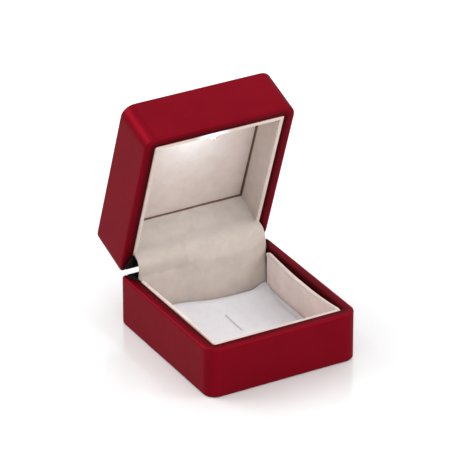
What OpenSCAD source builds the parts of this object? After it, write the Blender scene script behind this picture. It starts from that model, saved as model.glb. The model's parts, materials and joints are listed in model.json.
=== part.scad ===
// Hinged gift box for a pendant or ring, with a lamp in its lid.
// Origin: centre of the base's flat underside. +Z is up and the box opens towards -Y.

/* [Outside] */
// Width of the box, left to right
box_w = 65; // [62:0.5:72]
// Depth of the box, front to back
box_d = 72.4; // [70:0.1:80]
// Height from the table to the seam
base_h = 20.7; // [19.5:0.1:24]
// Height from the seam to the top of the closed lid
lid_h = 20.9; // [20.5:0.1:24]
// Radius of the upright corners
corner_r = 5.3; // [5:0.1:6]
// Radius of the softened outer edges
edge_r = 0.9; // [0.5:0.1:1.2]
// Width of the rim at the front and the sides
rim_w = 4.6; // [4.4:0.1:5]
// Thickness of the base's floor
floor_t = 2; // [1.6:0.1:2.4]
// Thickness of the lid's roof
roof_t = 1.6; // [1.2:0.1:1.6]

/* [Opening] */
// Angle at which the open lid stands
lid_open = 70.6; // [60:0.1:80]
// Distance of the hinge axis in front of the back face
hinge_inset = 1.65; // [1.5:0.05:1.8]
// Distance of the back bevel's start in front of the back face
bevel_start = 3.2; // [3:0.1:3.3]
// Gap between the closed rims
seam_gap = 0.2; // [0.1:0.05:0.3]

/* [Lining] */
// Thickness of a velvet-covered board
panel_t = 0.8; // [0.6:0.1:0.9]
// Height of the lid's inside face above the seam
ceiling_rise = 15.6; // [15:0.1:15.6]
// Height of the pad's top above the table
pad_top = 4.9; // [4.6:0.1:6]
// Length of the slit in the pad
slit_l = 14; // [8:1:20]
// Width of the slit in the pad
slit_w = 0.8; // [0.5:0.1:1.5]
// Radius of the flap's outer face about the hinge axis
flap_r = 10.05; // [9.9:0.05:10.2]

/* [Hinge] */
// Radius of the hinge pin
pin_r = 0.45; // [0.4:0.05:0.5]
// Radius of a knuckle
knuckle_r = 1; // [0.9:0.05:1.05]
// Radius of a snap cam
cam_r = 1.9; // [1.8:0.05:2]
// Distance from the hinge axis to a flat of the snap cam
cam_flat = 1.5; // [1.4:0.05:1.5]
// Thickness of a snap spring
spring_t = 0.3; // [0.2:0.05:0.35]

/* [Lamp] */
// Sideways place of the lamp
led_x = -1.8; // [-6:0.1:6]
// Height of the lamp's axis above the seam
led_rise = 2.7; // [2.7:0.1:5]
// Radius of the lamp's dome
led_r = 1.5; // [1.2:0.1:1.5]
// Radius of the coin cell
cell_r = 10; // [8:0.5:10]
// Thickness of the coin cell
cell_t = 1.6; // [1.2:0.1:1.6]
// Travel of the lid switch's plunger
plunger_travel = 1; // [0.6:0.1:1]

/* [Hidden] */
$fn = 64;
eps = 0.01;

// Places in plan
in_x = box_w / 2 - rim_w;
front_y = -(box_d / 2 - rim_w);
back_wall = 2.6;
back_y = box_d / 2 - back_wall;
hinge_y = box_d / 2 - hinge_inset;
bevel_y = box_d / 2 - bevel_start;
flap_y = hinge_y - flap_r;
bar_y = back_y - 2;
flare_y = flap_y + 1.1;
flare_w = 2.9;
flare_back_y = back_y - 1.8;
corner_cut = 1.2;
panel_gap = 0.1;
flap_half_w = in_x - 0.3;

// The rear pocket in both shells widens towards the back, where the hinge halves sit
pocket = [[in_x, flare_y], [in_x + flare_w, flare_back_y], [in_x + flare_w - corner_cut, back_y]];
pocket_left = [for (i = [len(pocket) - 1:-1:0]) [-pocket[i][0], pocket[i][1]]];
well_outline = concat([[-in_x, front_y], [in_x, front_y]], pocket, pocket_left);
hinge_outline = concat([[-in_x, bar_y], [in_x, bar_y]], pocket, pocket_left);

// Heights; those called rise are above the seam
seam_z = base_h;
half_gap = seam_gap / 2;
rear_panel_y = flap_y - 1;
rear_panel_top = seam_z - 0.5;
lining_back_y = rear_panel_y - panel_gap;
pad_board_t = 1;
pad_skin = 0.35;
pad_half_w = in_x - panel_t - panel_gap;
pad_front_y = front_y + panel_t + panel_gap;
slit_y = [2.8 - slit_l / 2, 2.8 + slit_l / 2];
flap_wrap = 80;
roof_rise = lid_h - roof_t;

// Hinge
bar_h = 6.6;
web_t = 0.9;
knuckle_outer = [16, 22];
knuckle_next = [10, 15.8];
knuckle_middle = [-3, 3];
cam_span = [3.6, 9.4];
cam_room = 0.25;
pin_half = 21.8;
screw_x = [-24, -6.5, 6.5, 24];
screw_drop = 4.3;
screw_r = 0.8;
screw_head_r = 1.4;
screw_head_t = 0.9;
screw_l = 3.6;
fit = 0.05;
spring_foot = 4.4;
spring_reach = 0.8;

// Lamp and its circuit
led_back_y = front_y - 0.8;
led_l = 5.5;
led_flange_r = 1.9;
led_flange_t = 0.7;
led_lead_l = 0.9;
led_board_t = 0.7;
led_board_w = 7;
led_board_rise = [0.9, 6.3];
led_pocket_d = 2.6;
channel_d = 1.8;
channel_w = 4;
wire_r = 0.4;
wire_bend = 1.2;
wire_step = 0.9;
board_rise = ceiling_rise + panel_t + panel_gap;
board_t = 0.8;
board_top = board_rise + board_t;
board_x = 20;
board_y = [-16, 10];
peg_spots = [for (x = [-17.5, 17.5], y = [-13, 7]) [x, y]];
boss_r = 1.8;
peg_r = 0.9;
cell_at = [-4, -3];
clip_t = 0.25;
clip_w = 5;
clip_half = cell_r + 1.9;

// Lid switch
switch_x = 18.25;
switch_size = [6.5, 4, 5.2];
switch_rise = 0.8;
switch_back_y = bar_y - 1.4;
plunger_y = switch_back_y - 2;
plunger_r = 0.9;
collar_r = 1.3;
collar_t = 0.4;
chamber_rise = switch_rise + 0.6;
plunger_tip = half_gap + 0.05 - 0.1 - plunger_travel;

red = [0.5, 0.05, 0.1];
ivory = [0.87, 0.8, 0.75];
black = [0.05, 0.05, 0.05];
steel = [0.75, 0.75, 0.78];
card = [0.7, 0.6, 0.45];
green = [0.1, 0.35, 0.2];

// ---- placing ----

// Lid pieces are drawn closed and swung open about the hinge axis
module swing_open() {
    translate([0, hinge_y, seam_z]) rotate([-lid_open, 0, 0]) translate([0, -hinge_y, 0]) children();
}

module above_seam() {
    translate([0, 0, seam_z]) children();
}

// A box given by its low and high corners
module block(low, high) {
    translate(low) cube(high - low);
}

// A round bar along X, from x0 to x1, on the hinge axis at seam height
module hinge_rod(x0, x1, r) {
    translate([x0, hinge_y, 0]) rotate([0, 90, 0]) cylinder(h = x1 - x0, r = r);
}

// A round bar along Y
module y_rod(at, length, r) {
    translate(at) rotate([-90, 0, 0]) cylinder(h = length, r = r);
}

// ---- shells ----

module edge_profile(w, h) {
    translate([-w / 2, edge_r]) square([w, h - 2 * edge_r]);
    translate([-w / 2 + edge_r, 0]) square([w - 2 * edge_r, h]);
    for (x = [-w / 2 + edge_r, w / 2 - edge_r], y = [edge_r, h - edge_r]) translate([x, y]) circle(edge_r);
}

// A block with round upright corners and softened outer edges
module soft_block(w, d, h) {
    rotate([90, 0, 90]) linear_extrude(w - 2 * corner_r, center = true) edge_profile(d, h);
    rotate([90, 0, 0]) linear_extrude(d - 2 * corner_r, center = true) edge_profile(w, h);
    for (x = [-1, 1], y = [-1, 1])
        translate([x * (w / 2 - corner_r), y * (d / 2 - corner_r), 0])
            rotate_extrude() intersection() {
                edge_profile(2 * corner_r, h);
                square([corner_r, h]);
            }
}

// What is cut from the back edge below the seam, so that the lid can swing
module back_bevel() {
    reach = bevel_start + 1;
    rotate([90, 0, 90]) linear_extrude(box_w + 2, center = true)
        polygon([[bevel_y, -half_gap], [bevel_y, 1], [bevel_y + reach, 1], [bevel_y + reach, -half_gap - reach]]);
}

module cam_rooms() {
    for (s = [-1, 1])
        hinge_rod(s * (cam_span[0] + cam_span[1]) / 2 - 3.2, s * (cam_span[0] + cam_span[1]) / 2 + 3.2,
            cam_r + cam_room);
}

module screw_holes() {
    for (x = screw_x) y_rod([x, bar_y - 1, -screw_drop], screw_l + 1.1, screw_r + fit);
}

// One open half of the case, with its seam at z = h
module half_shell(h, skin) {
    difference() {
        soft_block(box_w, box_d, h - half_gap);
        translate([0, 0, skin]) linear_extrude(h) polygon(well_outline);
        translate([0, 0, h]) {
            back_bevel();
            cam_rooms();
            screw_holes();
        }
    }
}

module base_shell() {
    color(red) half_shell(base_h, floor_t);
}

module lamp_pocket() {
    half_w = led_board_w / 2 + 0.5;
    block([led_x - half_w, front_y - led_pocket_d, 0.7], [led_x + half_w, front_y + eps, 6.6]);
    block([led_x - channel_w / 2, front_y - channel_d, 6.5], [led_x + channel_w / 2, front_y + eps, roof_rise]);
}

module lid_shell() {
    color(red) swing_open() {
        difference() {
            translate([0, 0, lid_h]) mirror([0, 0, 1]) half_shell(lid_h, roof_t);
            lamp_pocket();
        }
        for (p = peg_spots) {
            translate([p[0], p[1], board_top]) cylinder(h = roof_rise + eps - board_top, r = boss_r);
            translate([p[0], p[1], board_rise]) cylinder(h = board_t + eps, r = peg_r);
        }
    }
}

// ---- base lining ----

module base_front_panel() {
    color(ivory) block([-in_x, front_y, floor_t], [in_x, front_y + panel_t, seam_z - half_gap - panel_gap]);
}

// Side lining, with its top rear corner rounded
module base_side_panel(side) {
    top = seam_z - half_gap - panel_gap;
    round_r = 3;
    x = side * (in_x - panel_t / 2);
    color(ivory) difference() {
        translate([x, 0, 0]) block([-panel_t / 2, front_y + panel_t, floor_t], [panel_t / 2, lining_back_y, top]);
        translate([x, 0, 0]) difference() {
            block([-panel_t, lining_back_y - round_r, top - round_r], [panel_t, lining_back_y + 1, top + 1]);
            translate([0, lining_back_y - round_r, top - round_r]) rotate([0, 90, 0])
                cylinder(h = 3 * panel_t, r = round_r, center = true);
        }
    }
}

module base_left_panel() {
    base_side_panel(-1);
}

module base_right_panel() {
    base_side_panel(1);
}

module base_rear_panel() {
    color(ivory) block([-flap_half_w, rear_panel_y, floor_t], [flap_half_w, rear_panel_y + panel_t, rear_panel_top]);
}

module pad_board() {
    color(card) block([-pad_half_w, pad_front_y, floor_t], [pad_half_w, lining_back_y, floor_t + pad_board_t]);
}

module slit() {
    block([-slit_w / 2, slit_y[0], floor_t + pad_board_t - 1], [slit_w / 2, slit_y[1], pad_top + 1]);
}

module pad_foam() {
    color("white") difference() {
        block([-pad_half_w + pad_skin, pad_front_y + pad_skin, floor_t + pad_board_t],
            [pad_half_w - pad_skin, lining_back_y - pad_skin, pad_top - pad_skin]);
        slit();
    }
}

module pad_cover() {
    low = floor_t + pad_board_t;
    color(ivory) difference() {
        block([-pad_half_w, pad_front_y, low], [pad_half_w, lining_back_y, pad_top]);
        block([-pad_half_w + pad_skin, pad_front_y + pad_skin, low - 1],
            [pad_half_w - pad_skin, lining_back_y - pad_skin, pad_top - pad_skin]);
        slit();
    }
}

// ---- hinge ----

// A knuckle and the web that lies on the bevel and joins it to the bar
module knuckle(span) {
    hinge_rod(span[0], span[1], knuckle_r);
    translate([span[0], 0, -half_gap]) rotate([90, 0, 90]) linear_extrude(span[1] - span[0])
        polygon([[bevel_y, 0], [hinge_y, 0], [hinge_y, -web_t], [bevel_y + web_t, -web_t]]);
}

// The bar and end gussets of one hinge half, below the seam
module hinge_bar() {
    difference() {
        translate([0, 0, -half_gap - bar_h]) linear_extrude(bar_h) polygon(hinge_outline);
        back_bevel();
        cam_rooms();
        screw_holes();
    }
}

module pin_bore() {
    hinge_rod(-pin_half - 2, pin_half + 2, pin_r + fit);
}

module spring_slots() {
    for (s = [-1, 1]) {
        mid = s * (cam_span[0] + cam_span[1]) / 2;
        block([mid - 3.1, bar_y - eps, -cam_flat - 0.1 - spring_foot - 0.2],
            [mid + 3.1, bar_y + spring_t, -cam_flat]);
        block([mid - 3.1, bar_y - eps, -cam_flat - 0.2 - spring_t], [mid + 3.1, back_y + eps, -cam_flat]);
    }
}

module hinge_lower() {
    striker_half = 2.25;
    color(black) above_seam() difference() {
        union() {
            difference() {
                hinge_bar();
                spring_slots();
            }
            knuckle(knuckle_outer);
            knuckle(-[knuckle_outer[1], knuckle_outer[0]]);
            knuckle(knuckle_middle);
            block([switch_x - striker_half, plunger_y - 1.2, -half_gap - 1],
                [switch_x + striker_half, bar_y + eps, -half_gap]);
        }
        pin_bore();
    }
}

// A cam with one flat for each end of the swing, on which the spring lies
module snap_cam(mid) {
    half = (cam_span[1] - cam_span[0]) / 2;
    translate([0, hinge_y, 0]) difference() {
        translate([0, -hinge_y, 0]) hinge_rod(mid - half, mid + half, cam_r);
        for (turn = [0, lid_open]) rotate([turn, 0, 0])
            block([mid - half - 1, -3, -4], [mid + half + 1, 3, -cam_flat]);
    }
    block([mid - half, bar_y, half_gap], [mid + half, hinge_y, half_gap + 1.2]);
}

module hinge_upper() {
    color(black) swing_open() difference() {
        union() {
            mirror([0, 0, 1]) {
                hinge_bar();
                knuckle(knuckle_next);
                knuckle(-[knuckle_next[1], knuckle_next[0]]);
            }
            for (s = [-1, 1]) snap_cam(s * (cam_span[0] + cam_span[1]) / 2);
            block([switch_x - switch_size[0] / 2, switch_back_y, switch_rise],
                [switch_x + switch_size[0] / 2, bar_y + eps, switch_rise + switch_size[2]]);
        }
        pin_bore();
    }
}

module hinge_pin() {
    color(steel) above_seam() hinge_rod(-pin_half, pin_half, pin_r);
}

// A flat spring: its foot is held under a screw and its blade lies below a snap cam
module hinge_spring(side) {
    mid = side * (cam_span[0] + cam_span[1]) / 2;
    half = (cam_span[1] - cam_span[0]) / 2;
    top = -cam_flat - 0.1;
    color(steel) above_seam() difference() {
        union() {
            block([mid - half, bar_y, top - spring_foot], [mid + half, bar_y + spring_t, top]);
            block([mid - half, bar_y, top - spring_t], [mid + half, hinge_y + spring_reach, top]);
        }
        y_rod([mid, bar_y - 1, -screw_drop], 3, screw_r + fit);
    }
}

module hinge_spring_left() {
    hinge_spring(-1);
}

module hinge_spring_right() {
    hinge_spring(1);
}

module hinge_screws() {
    socket_w = 0.35;
    for (x = screw_x) difference() {
        union() {
            y_rod([x, bar_y - screw_head_t, -screw_drop], screw_head_t, screw_head_r);
            y_rod([x, bar_y - eps, -screw_drop], screw_l, screw_r);
        }
        block([x - 1, bar_y - screw_head_t - eps, -screw_drop - socket_w / 2],
            [x + 1, bar_y - screw_head_t + 0.4, -screw_drop + socket_w / 2]);
        block([x - socket_w / 2, bar_y - screw_head_t - eps, -screw_drop - 1],
            [x + socket_w / 2, bar_y - screw_head_t + 0.4, -screw_drop + 1]);
    }
}

module hinge_screws_lower() {
    color(steel) above_seam() hinge_screws();
}

module hinge_screws_upper() {
    color(steel) swing_open() mirror([0, 0, 1]) hinge_screws();
}

// ---- lid lining ----

module lid_front_panel() {
    color(ivory) swing_open() difference() {
        block([-in_x, front_y, half_gap + panel_gap], [in_x, front_y + panel_t, ceiling_rise]);
        y_rod([led_x, front_y - 1, led_rise], 3, led_r + fit);
    }
}

module lid_side_panel(side) {
    x = side * (in_x - panel_t / 2);
    color(ivory) swing_open() translate([x, 0, 0])
        block([-panel_t / 2, front_y + panel_t, half_gap + panel_gap], [panel_t / 2, flap_y - panel_gap, ceiling_rise]);
}

module lid_left_panel() {
    lid_side_panel(-1);
}

module lid_right_panel() {
    lid_side_panel(1);
}

module lid_ceiling_panel() {
    color(ivory) swing_open()
        block([-in_x, front_y, ceiling_rise], [in_x, flap_y + panel_t, ceiling_rise + panel_t]);
}

// The curtain behind the jewel: flat in the lid, then rolled about the hinge axis
module velvet_flap() {
    color(ivory) swing_open() {
        block([-flap_half_w, flap_y, -eps], [flap_half_w, flap_y + panel_t, ceiling_rise]);
        intersection() {
            difference() {
                hinge_rod(-flap_half_w, flap_half_w, flap_r);
                hinge_rod(-in_x, in_x, flap_r - panel_t);
            }
            translate([0, hinge_y, 0]) rotate([90, 0, 90]) linear_extrude(box_w, center = true)
                polygon(concat([[0, 0]],
                    [for (a = [0, flap_wrap / 2, flap_wrap]) 1.5 * flap_r * [-cos(a), -sin(a)]]));
        }
    }
}

// ---- lamp and circuit ----

module led() {
    dome_y = led_back_y + led_l - led_r;
    color("white") swing_open() {
        y_rod([led_x, led_back_y, led_rise], led_flange_t, led_flange_r);
        y_rod([led_x, led_back_y, led_rise], led_l - led_r, led_r);
        translate([led_x, dome_y, led_rise]) sphere(led_r);
        for (s = [-1, 1]) y_rod([led_x + s * 0.6, led_back_y - led_lead_l, led_rise], led_lead_l + eps, 0.25);
    }
}

module led_board() {
    y = led_back_y - led_lead_l;
    color(green) swing_open()
        block([led_x - led_board_w / 2, y - led_board_t, led_board_rise[0]],
            [led_x + led_board_w / 2, y, led_board_rise[1]]);
}

// A wire that rises from low to the circuit's height and turns along Y
module bent_wire(x, y, low, run) {
    way = sign(run);
    top = board_top + wire_r + 0.05;
    translate([x, y, low]) cylinder(h = top - wire_bend - low, r = wire_r);
    translate([x, y + way * wire_bend, top - wire_bend]) rotate([90, 0, 90 * way])
        rotate([0, 0, 90]) rotate_extrude(angle = 90) translate([wire_bend, 0]) circle(wire_r);
    translate([x, y + way * wire_bend, top]) rotate([-90 * way, 0, 0])
        cylinder(h = abs(run) - wire_bend, r = wire_r);
}

module led_wires() {
    y = front_y - 1.2;
    color("firebrick") swing_open()
        for (s = [-1, 1]) bent_wire(led_x + s * wire_step, y, 4.8, board_y[0] + 0.6 - y);
}

module switch_wires() {
    color("firebrick") swing_open()
        for (s = [-1, 1])
            bent_wire(switch_x + s * wire_step, plunger_y, switch_rise + switch_size[2], board_y[1] - 0.6 - plunger_y);
}

module circuit_board() {
    color(green) swing_open() difference() {
        block([-board_x, board_y[0], board_rise], [board_x, board_y[1], board_top]);
        for (p = peg_spots) translate([p[0], p[1], board_rise - 1]) cylinder(h = 3, r = peg_r + fit);
    }
}

module resistor() {
    color(black) swing_open() block([10.4, -8.8, board_top], [13.6, -7.2, board_top + 0.6]);
}

module battery_holder() {
    color(black) swing_open() translate([cell_at[0], cell_at[1], board_top]) difference() {
        cylinder(h = cell_t - 0.2, r = cell_r + 1.3);
        translate([0, 0, -1]) cylinder(h = cell_t + 2, r = cell_r + 0.1);
    }
}

module coin_cell() {
    color(steel) swing_open() translate([cell_at[0], cell_at[1], board_top + fit])
        cylinder(h = cell_t - fit, r = cell_r);
}

module battery_clip() {
    y = [cell_at[1] - clip_w / 2, cell_at[1] + clip_w / 2];
    top = board_top + cell_t + clip_t;
    color(steel) swing_open() {
        block([cell_at[0] - clip_half, y[0], board_top + cell_t], [cell_at[0] + clip_half, y[1], top]);
        for (x = [cell_at[0] - clip_half, cell_at[0] + clip_half - clip_t])
            block([x, y[0], board_top], [x + clip_t, y[1], top]);
    }
}

module switch_body() {
    half = switch_size[0] / 2;
    color(black) swing_open() difference() {
        block([switch_x - half, switch_back_y - switch_size[1], switch_rise],
            [switch_x + half, switch_back_y, switch_rise + switch_size[2]]);
        translate([switch_x, plunger_y, switch_rise - 1]) cylinder(h = 2, r = plunger_r + fit);
        translate([switch_x, plunger_y, chamber_rise]) cylinder(h = 2.2, r = collar_r + 0.1);
    }
}

module switch_plunger() {
    color("white") swing_open() {
        translate([switch_x, plunger_y, plunger_tip]) cylinder(h = chamber_rise + fit - plunger_tip, r = plunger_r);
        translate([switch_x, plunger_y, chamber_rise + fit - eps]) cylinder(h = collar_t, r = collar_r);
    }
}

base_shell();
base_front_panel();
base_left_panel();
base_right_panel();
base_rear_panel();
pad_board();
pad_foam();
pad_cover();
hinge_lower();
hinge_upper();
hinge_pin();
hinge_spring_left();
hinge_spring_right();
hinge_screws_lower();
hinge_screws_upper();
lid_shell();
lid_front_panel();
lid_left_panel();
lid_right_panel();
lid_ceiling_panel();
velvet_flap();
led();
led_board();
led_wires();
circuit_board();
resistor();
battery_holder();
coin_cell();
battery_clip();
switch_body();
switch_plunger();
switch_wires();
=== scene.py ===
"""Looks of a hinged gift box with a lamp in its lid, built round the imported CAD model.

Lengths in this script are in mm, and are turned into metres when a mesh is made.
Lid pieces are drawn as if the lid were shut and then swung open, like in the CAD source.
"""

import json
import math

import bmesh
import bpy
import numpy as np
from mathutils import Matrix, Vector, noise


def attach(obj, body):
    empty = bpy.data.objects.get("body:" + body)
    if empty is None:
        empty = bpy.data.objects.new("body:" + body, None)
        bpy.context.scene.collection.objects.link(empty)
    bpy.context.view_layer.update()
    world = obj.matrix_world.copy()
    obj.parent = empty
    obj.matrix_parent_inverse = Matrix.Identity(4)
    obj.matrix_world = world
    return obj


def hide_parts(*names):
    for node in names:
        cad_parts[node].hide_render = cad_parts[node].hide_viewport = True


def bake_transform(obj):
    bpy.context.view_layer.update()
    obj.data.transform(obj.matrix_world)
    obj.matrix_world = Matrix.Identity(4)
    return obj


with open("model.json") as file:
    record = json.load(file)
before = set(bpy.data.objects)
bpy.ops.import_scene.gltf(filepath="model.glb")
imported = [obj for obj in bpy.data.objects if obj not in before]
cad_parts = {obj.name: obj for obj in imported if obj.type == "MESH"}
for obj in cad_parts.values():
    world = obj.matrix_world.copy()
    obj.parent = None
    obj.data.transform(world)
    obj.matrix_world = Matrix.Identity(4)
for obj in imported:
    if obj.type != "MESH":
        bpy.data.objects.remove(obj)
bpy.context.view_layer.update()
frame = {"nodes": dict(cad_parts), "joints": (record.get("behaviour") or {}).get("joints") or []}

MM = 0.001

# ---- places and sizes, in mm ----


def points_of(node):
    """A CAD node's vertices at rest."""
    return np.array([v.co for v in frame["nodes"][node].data.vertices], float) / MM


hinge = next(j for j in frame["joints"] if j["name"] == "lid_hinge")
hinge_at = np.array(hinge["pos_m"]) / MM
hinge_y, seam_z = hinge_at[1:]
lid_open = math.radians(hinge["range_deg"][1])
swing = np.array(Matrix.Rotation(-lid_open, 3, "X"))


def opened(points):
    """Points drawn with the lid shut, moved to where the open lid has them."""
    return (np.asarray(points, float) - hinge_at) @ swing.T + hinge_at


def shut(points):
    """Points of the open lid, moved to where the shut lid has them."""
    return (np.asarray(points, float) - hinge_at) @ swing + hinge_at


def rest_box(node):
    found = points_of(node)
    return found.min(0), found.max(0)


def shut_box(node):
    found = shut(points_of(node))
    return found.min(0), found.max(0)


half_w, half_d, base_rim = rest_box("base_shell")[1]
lid_low, lid_high = shut_box("lid_shell")
lid_rim, lid_top = lid_low[2], lid_high[2]
well_x = rest_box("base_right_panel")[1][0]
well_front = rest_box("base_front_panel")[0][1]
lamp_low, lamp_high = shut_box("led")
lamp_x = (lamp_low[0] + lamp_high[0]) / 2
lamp_rise = (lamp_low[2] + lamp_high[2]) / 2 - seam_z

CORNER_R = 5.3
EDGE_R = 0.9
RIM_EDGE_R = 0.8
WELL_CORNER_R = 1.0
FLOOR_T = 2.0
ROOF_T = 1.6
BEVEL_IN = 3.2
BEVEL_Y = half_d - BEVEL_IN
POCKET_BACK_Y = half_d - 2.6
FLARE_Y = hinge_y - 8.95
FLARE_END = (well_x + 2.9, POCKET_BACK_Y - 1.8)
POCKET_CORNER = (well_x + 1.7, POCKET_BACK_Y)


# ---- making meshes ----


def new_piece(name, points, faces, body=None, node_names=()):
    """A mesh object from points in mm; with a body, it rides there and stands for CAD nodes."""
    mesh = bpy.data.meshes.new(name)
    mesh.from_pydata([tuple(p) for p in np.asarray(points) * MM], [], faces)
    mesh.validate()
    piece = bpy.data.objects.new(name, mesh)
    bpy.context.scene.collection.objects.link(piece)
    if body:
        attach(piece, body)
        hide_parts(*node_names)
    return piece


def turn_outward(piece):
    """Makes every face of a closed mesh look outward."""
    work = bmesh.new()
    work.from_mesh(piece.data)
    bmesh.ops.recalc_face_normals(work, faces=work.faces)
    work.to_mesh(piece.data)
    work.free()


def smooth(piece, angle=35, weighted=True):
    """Smooth shading with creases kept, and large flat faces left flat."""
    piece.data.shade_smooth()
    piece.data.set_sharp_from_angle(angle=math.radians(angle))
    if weighted:
        piece.modifiers.new("even_shading", "WEIGHTED_NORMAL").keep_sharp = True


def bake_modifiers(piece):
    """Replaces a piece's mesh by what its modifiers make of it."""
    bpy.context.view_layer.update()
    made = piece.evaluated_get(bpy.context.evaluated_depsgraph_get())
    mesh = bpy.data.meshes.new_from_object(made)
    piece.modifiers.clear()
    piece.data = mesh


def cut(piece, cutters, zone=0):
    """Cuts closed shapes, as (points, faces) in mm, out of a piece; zone is the cut's material."""
    tools = []
    for i, (points, faces) in enumerate(cutters):
        tool = new_piece(f"cutter_{i}", points, faces)
        turn_outward(tool)
        tool.data.polygons.foreach_set("material_index", [zone] * len(tool.data.polygons))
        tools.append(tool)
        step = piece.modifiers.new(f"cut_{i}", "BOOLEAN")
        step.operation, step.solver, step.object = "DIFFERENCE", "EXACT", tool
    bake_modifiers(piece)
    for tool in tools:
        bpy.data.objects.remove(tool)


def skin(loops):
    """Points and faces of a solid through closed loops of equally many points."""
    n = len(loops[0])
    faces = []
    for k in range(len(loops) - 1):
        for i in range(n):
            j = (i + 1) % n
            faces.append((k * n + i, k * n + j, (k + 1) * n + j, (k + 1) * n + i))
    faces.append(tuple(reversed(range(n))))
    faces.append(tuple((len(loops) - 1) * n + i for i in range(n)))
    return np.concatenate(loops), faces


def rod(centre, axis, length, radius, sides=32):
    """A cylinder from centre along an axis, 0 for X and 1 for Y."""
    turn = np.arange(sides) * 2 * math.pi / sides
    ring = np.zeros((sides, 3))
    others = [k for k in range(3) if k != axis]
    ring[:, others[0]] = radius * np.cos(turn)
    ring[:, others[1]] = radius * np.sin(turn)
    far = ring.copy()
    far[:, axis] += length
    return skin([ring + centre, far + centre])


def block(low, high):
    low, high = np.array(low, float), np.array(high, float)
    corners = [(low[0], low[1]), (high[0], low[1]), (high[0], high[1]), (low[0], high[1])]
    return skin([np.array([(*c, z) for c in corners]) for z in (low[2], high[2])])


# ---- the two red halves ----


def line(start, end):
    start, end = np.array(start, float), np.array(end, float)
    return lambda t: start + (end - start) * t


def arc(centre, radius, start, end):
    def at(t):
        turn = math.radians(start + (end - start) * t)
        return np.array(centre) + radius * np.array([math.cos(turn), math.sin(turn)])

    return at


def matched_outlines():
    """The case's outside and its well seen from above, as equally many points, anticlockwise."""
    w, d, r = half_w, half_d, CORNER_R
    well_r = WELL_CORNER_R
    crease = math.degrees(math.asin((BEVEL_Y - (d - r)) / r))
    share = (BEVEL_Y - FLARE_END[1]) / (POCKET_CORNER[1] - FLARE_END[1])
    cut_x = FLARE_END[0] + (POCKET_CORNER[0] - FLARE_END[0]) * share
    spans = [
        (line((0, -d), (w - r, -d)), line((0, well_front), (well_x - well_r, well_front)), 14),
        (
            arc((w - r, r - d), r, -90, 0),
            arc((well_x - well_r, well_front + well_r), well_r, -90, 0),
            12,
        ),
        (line((w, r - d), (w, FLARE_Y)), line((well_x, well_front + well_r), (well_x, FLARE_Y)), 26),
        (line((w, FLARE_Y), (w, d - r)), line((well_x, FLARE_Y), FLARE_END), 5),
        (arc((w - r, d - r), r, 0, crease), line(FLARE_END, (cut_x, BEVEL_Y)), 4),
        (arc((w - r, d - r), r, crease, 90), line((cut_x, BEVEL_Y), POCKET_CORNER), 10),
        (line((w - r, d), (0, d)), line(POCKET_CORNER, (0, POCKET_BACK_Y)), 14),
    ]
    outside, well = [], []
    for outer, inner, n in spans:
        for i in range(n):
            outside.append(outer(i / n))
            well.append(inner(i / n))
    outside.append(np.array([0, d]))
    well.append(np.array([0, POCKET_BACK_Y]))
    mirror = np.array([-1, 1])
    outside += [p * mirror for p in reversed(outside[1:-1])]
    well += [p * mirror for p in reversed(well[1:-1])]
    return np.array(outside), np.array(well)


def normals_of(outline):
    """Outward unit normals of an anticlockwise outline."""
    along = np.roll(outline, -1, 0) - np.roll(outline, 1, 0)
    out = np.stack([along[:, 1], -along[:, 0]], axis=1)
    return out / np.linalg.norm(out, axis=1)[:, None]


# the case's coats: the red lacquer, and two darker copies of it that paint shade on the rim and,
# deeper, on its inner edge and down the well; and the loops across its rim: their share of the way in,
# and their coat
OUTER, RIM, INNER = 0, 1, 2
RIM_LOOPS = ((0.08, OUTER), (0.3, RIM), (0.5, RIM), (0.75, INNER), (0.92, INNER))


def case_half(height, floor):
    """One open half of the case, on its flat side, rim at the height given, and its faces' zones."""
    outside, well = matched_outlines()
    out, into = normals_of(outside), normals_of(well)
    loops, bands = [], []

    def top(p):
        return height - np.maximum(0, p[:, 1] - BEVEL_Y)

    def add(p, z, zone):
        loops.append(np.column_stack([p, np.broadcast_to(z, len(p))]))
        bands.append(zone)

    quarter = [i * math.pi / 10 for i in range(6)]
    for a in quarter:
        add(outside - out * EDGE_R * (1 - math.sin(a)), EDGE_R * (1 - math.cos(a)), OUTER)
    wall_top = top(outside) - EDGE_R
    for share in (0.15, 0.4, 0.65, 0.9):
        add(outside, EDGE_R + (wall_top - EDGE_R) * share, OUTER)
    for a in quarter:
        p = outside - out * EDGE_R * (1 - math.cos(a))
        add(p, top(p) - EDGE_R * (1 - math.sin(a)), OUTER)
    rim_out, rim_in = outside - out * EDGE_R, well + into * RIM_EDGE_R
    for share, zone in RIM_LOOPS:
        p = rim_out + (rim_in - rim_out) * share
        add(p, top(p), zone)
    for a in quarter:
        p = well + into * RIM_EDGE_R * (1 - math.sin(a))
        add(p, top(p) - RIM_EDGE_R * (1 - math.cos(a)), INNER)
    wall_low = top(well) - RIM_EDGE_R
    for share in (0.1, 0.5, 0.9, 1):
        add(well, wall_low + (floor - wall_low) * share, INNER)
    points, faces = skin(loops)
    zones = np.repeat(bands[:-1], len(outside)).tolist() + [OUTER, INNER]
    return points, faces, zones


def coat(piece, coats, zones):
    """Gives a case half its three coats, each on its own zone: the red lacquer outside, and darker
    copies as painted shade on the rim and, deeper, on its inner edge and down the well.
    """
    for material in coats:
        piece.data.materials.append(material)
    piece.data.polygons.foreach_set("material_index", zones)


CAM_ROOM_R = 2.15
CAM_ROOM_X = (3.3, 9.7)
SCREW_X = (-24, -6.5, 6.5, 24)
SCREW_HOLE_R = 0.85
SCREW_DROP = 4.3
SCREW_DEPTH = 2.0
SCREW_REACH = 3.7
LAMP_POCKET_DEPTH = 2.6
LAMP_POCKET_ROOM = (0.5, 0.2, 0.3)
WIRE_CHANNEL_DEPTH = 1.8
CUT_PAST = 0.5


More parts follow.
